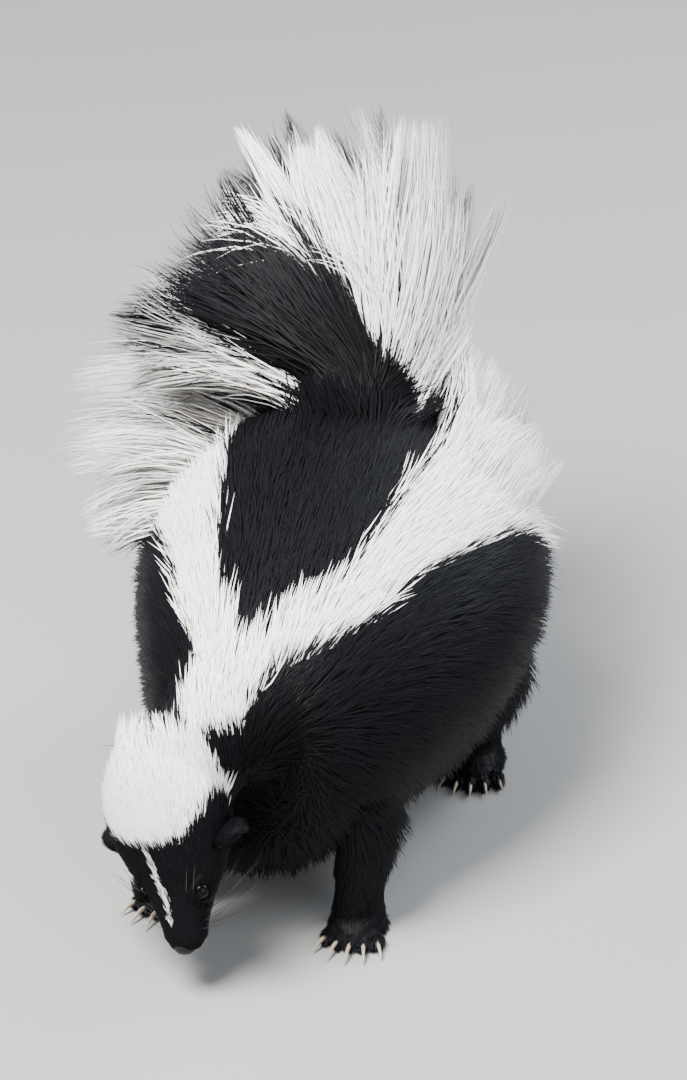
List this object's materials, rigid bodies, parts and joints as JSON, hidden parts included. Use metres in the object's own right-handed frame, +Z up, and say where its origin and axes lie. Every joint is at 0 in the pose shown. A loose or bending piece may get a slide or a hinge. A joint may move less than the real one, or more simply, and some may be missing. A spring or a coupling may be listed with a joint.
{
  "type": "striped skunk model",
  "caption": "Life-size striped skunk standing with its nose to the ground and its long-haired tail raised and fanned to one side.",
  "frame": {"origin": "on the floor under the middle of the whole model's box", "axes": "+Z up, the skunk faces -Y, its left side is +X"},
  "size_m": [0.2486, 0.363, 0.3183],
  "materials": {
    "coat": "dense black and white fur with long guard hairs",
    "paw": "dark bare skin and short fur",
    "ear": "short dark fur, bare inside",
    "eye": "wet gloss",
    "nose": "moist grained skin",
    "claw": "smooth dark horn",
    "whisker": "stiff thin hair"
  },
  "bodies": {
    "root": {"torso": "coat", "neck": "coat", "head": "coat", "tail": "coat", "foreleg_left": "coat", "foreleg_right": "coat", "hind_leg_left": "coat", "hind_leg_right": "coat", "forepaw_left": "paw", "forepaw_right": "paw", "hind_paw_left": "paw", "hind_paw_right": "paw", "ear_left": "ear", "ear_right": "ear", "eye_left": "eye", "eye_right": "eye", "nose": "nose"}
  },
  "joints": []
}
